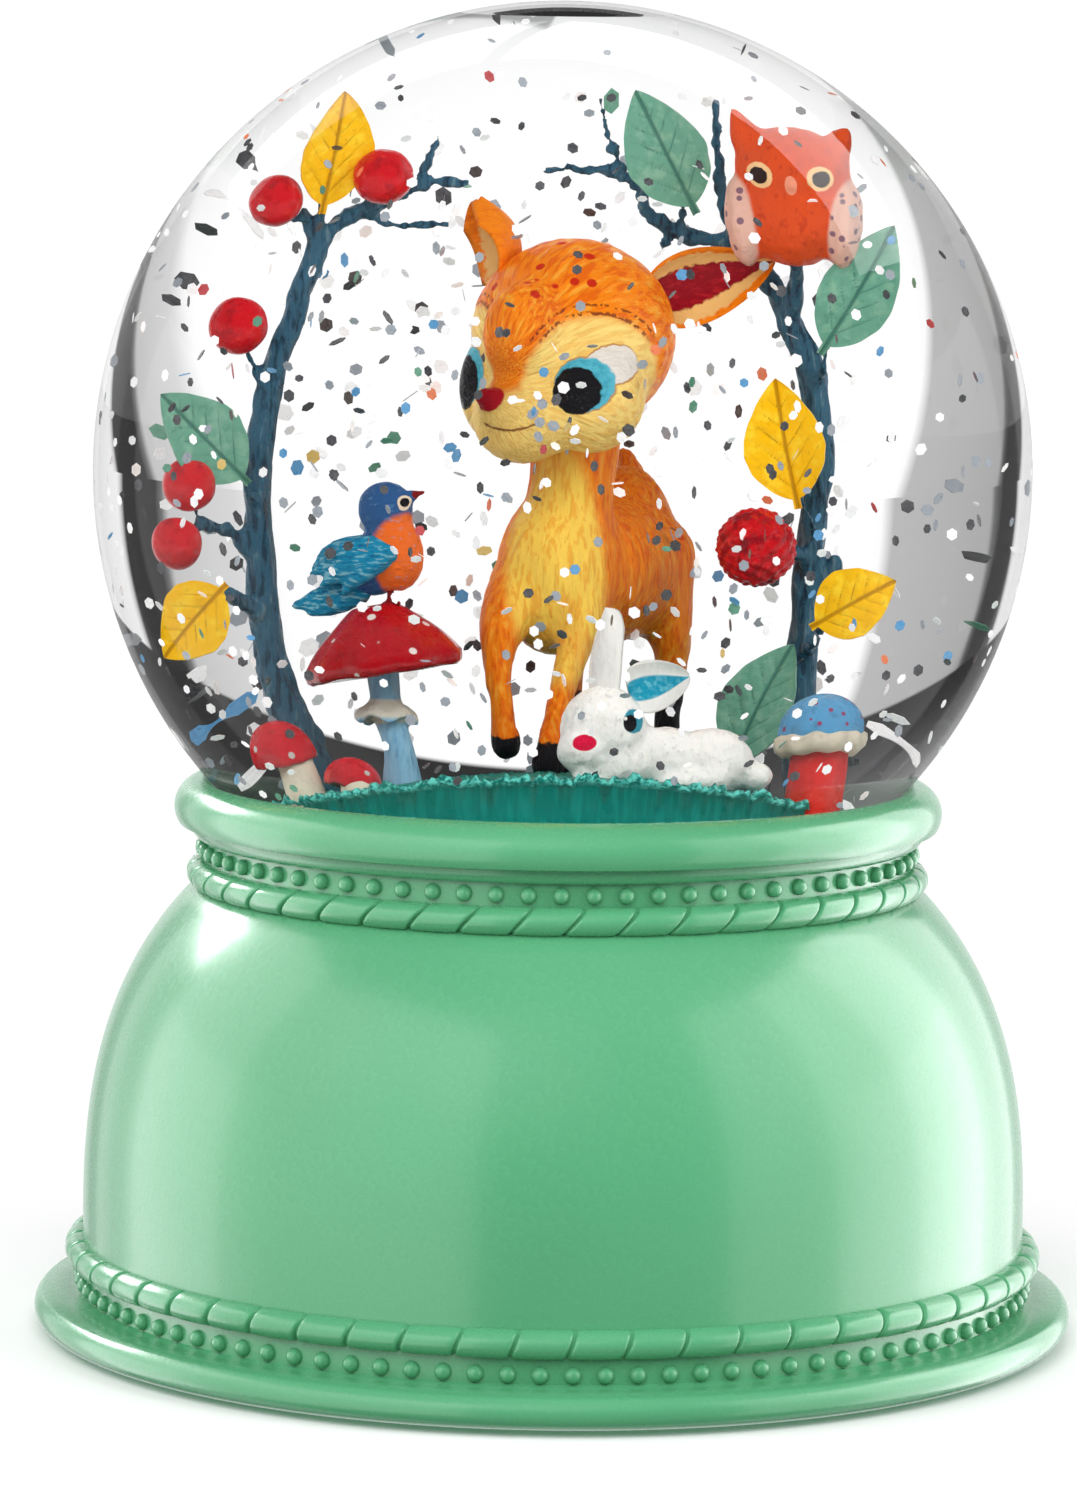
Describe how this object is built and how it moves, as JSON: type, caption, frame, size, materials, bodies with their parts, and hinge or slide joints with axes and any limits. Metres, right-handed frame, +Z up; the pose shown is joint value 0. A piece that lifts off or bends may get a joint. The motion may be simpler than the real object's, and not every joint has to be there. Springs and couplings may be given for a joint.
{
  "type": "snow globe",
  "caption": "Light-up snow globe: liquid-filled clear ball with a forest animal scene on a domed green base with bead and rope mouldings, underside switch and battery door.",
  "frame": {"origin": "centre of the circle on the table that the rubber feet stand on, on the globe's turned axis", "axes": "+Z up along the turned axis, -Y towards the viewer of the scene's front, +X to that viewer's right"},
  "size_m": [0.11, 0.11, 0.14],
  "materials": {
    "green_resin": "glossy mint-green painted resin with slight orange peel",
    "dark_plastic": "fine-textured moulded plastic",
    "white_plastic": "satin moulded plastic",
    "rubber": "matt rubber",
    "steel": "plated spring steel",
    "battery_skin": "printed metallic wrap, plain",
    "circuit_board": "white solder resist",
    "led_clear": "clear epoxy lens",
    "wire_red": "insulation",
    "wire_black": "insulation",
    "frosted_plug": "frosted silicone rubber",
    "clear_ball": "polished clear shell filled with water",
    "teal_paint": "painted resin",
    "bark_paint": "painted resin, rough bark relief",
    "mustard_paint": "painted resin",
    "sage_paint": "painted resin",
    "red_paint": "glossy painted resin",
    "fawn_paint": "painted resin, carved fur strokes",
    "white_paint": "pearly painted resin",
    "bird_paint": "painted resin, carved feathers",
    "owl_paint": "painted resin, carved feathers",
    "stalk_paint": "painted resin",
    "blue_paint": "painted resin",
    "cap_paint": "glossy painted resin"
  },
  "bodies": {
    "globe": {"ball_gasket": "rubber", "ball_plug": "frosted_plug", "ball_shell": "clear_ball", "base_housing": "green_resin", "battery_left": "battery_skin", "battery_middle": "battery_skin", "battery_right": "battery_skin", "berry_left": "red_paint", "berry_low_lower": "red_paint", "berry_low_upper": "red_paint", "berry_top_left": "red_paint", "berry_top_middle": "red_paint", "bird": "bird_paint", "blue_mushroom": "blue_paint", "bottom_cover": "dark_plastic", "contact_plate_left": "steel", "contact_plate_middle": "steel", "contact_plate_right": "steel", "contact_spring_left": "steel", "contact_spring_middle": "steel", "contact_spring_right": "steel", "cover_screw_1": "steel", "cover_screw_2": "steel", "cover_screw_3": "steel", "fawn_body": "fawn_paint", "fawn_head": "fawn_paint", "ground": "teal_paint", "leaf_green_ground": "sage_paint", "leaf_green_left": "sage_paint", "leaf_green_right": "sage_paint", "leaf_green_top": "sage_paint", "leaf_yellow_low_left": "mustard_paint", "leaf_yellow_low_right": "mustard_paint", "leaf_yellow_right": "mustard_paint", "leaf_yellow_top": "mustard_paint", "led_1": "led_clear", "led_2": "led_clear", "led_3": "led_clear", "led_board": "circuit_board", "left_tree": "bark_paint", "owl": "owl_paint", "rabbit": "white_paint", "raspberry": "red_paint", "red_mushroom": "cap_paint", "reflector_cup": "white_plastic", "right_tree": "bark_paint", "rubber_foot_1": "rubber", "rubber_foot_2": "rubber", "rubber_foot_3": "rubber", "rubber_foot_4": "rubber", "small_red_mushroom": "cap_paint", "switch_body": "dark_plastic", "tall_mushroom_cap": "cap_paint", "tall_mushroom_stalk": "stalk_paint", "wire_black": "wire_black", "wire_red": "wire_red"},
    "switch_slider": {"switch_slider": "white_plastic"},
    "battery_door": {"battery_door": "dark_plastic"},
    "door_screw": {"door_screw": "steel"}
  },
  "joints": [
    {"name": "switch_slide", "type": "slide", "parent": "globe", "child": "switch_slider", "axis": [0, 1, 0], "range_m": [0, 0.0035]},
    {"name": "battery_door_hinge", "type": "hinge", "parent": "globe", "child": "battery_door", "pos_m": [0, 0.031, 0.0015], "axis": [1, 0, 0], "range_deg": [0, 100]},
    {"name": "door_screw_turn", "type": "hinge", "parent": "battery_door", "child": "door_screw", "pos_m": [0, -0.0336, 0.0016], "axis": [0, 0, 1], "continuous": true}
  ]
}
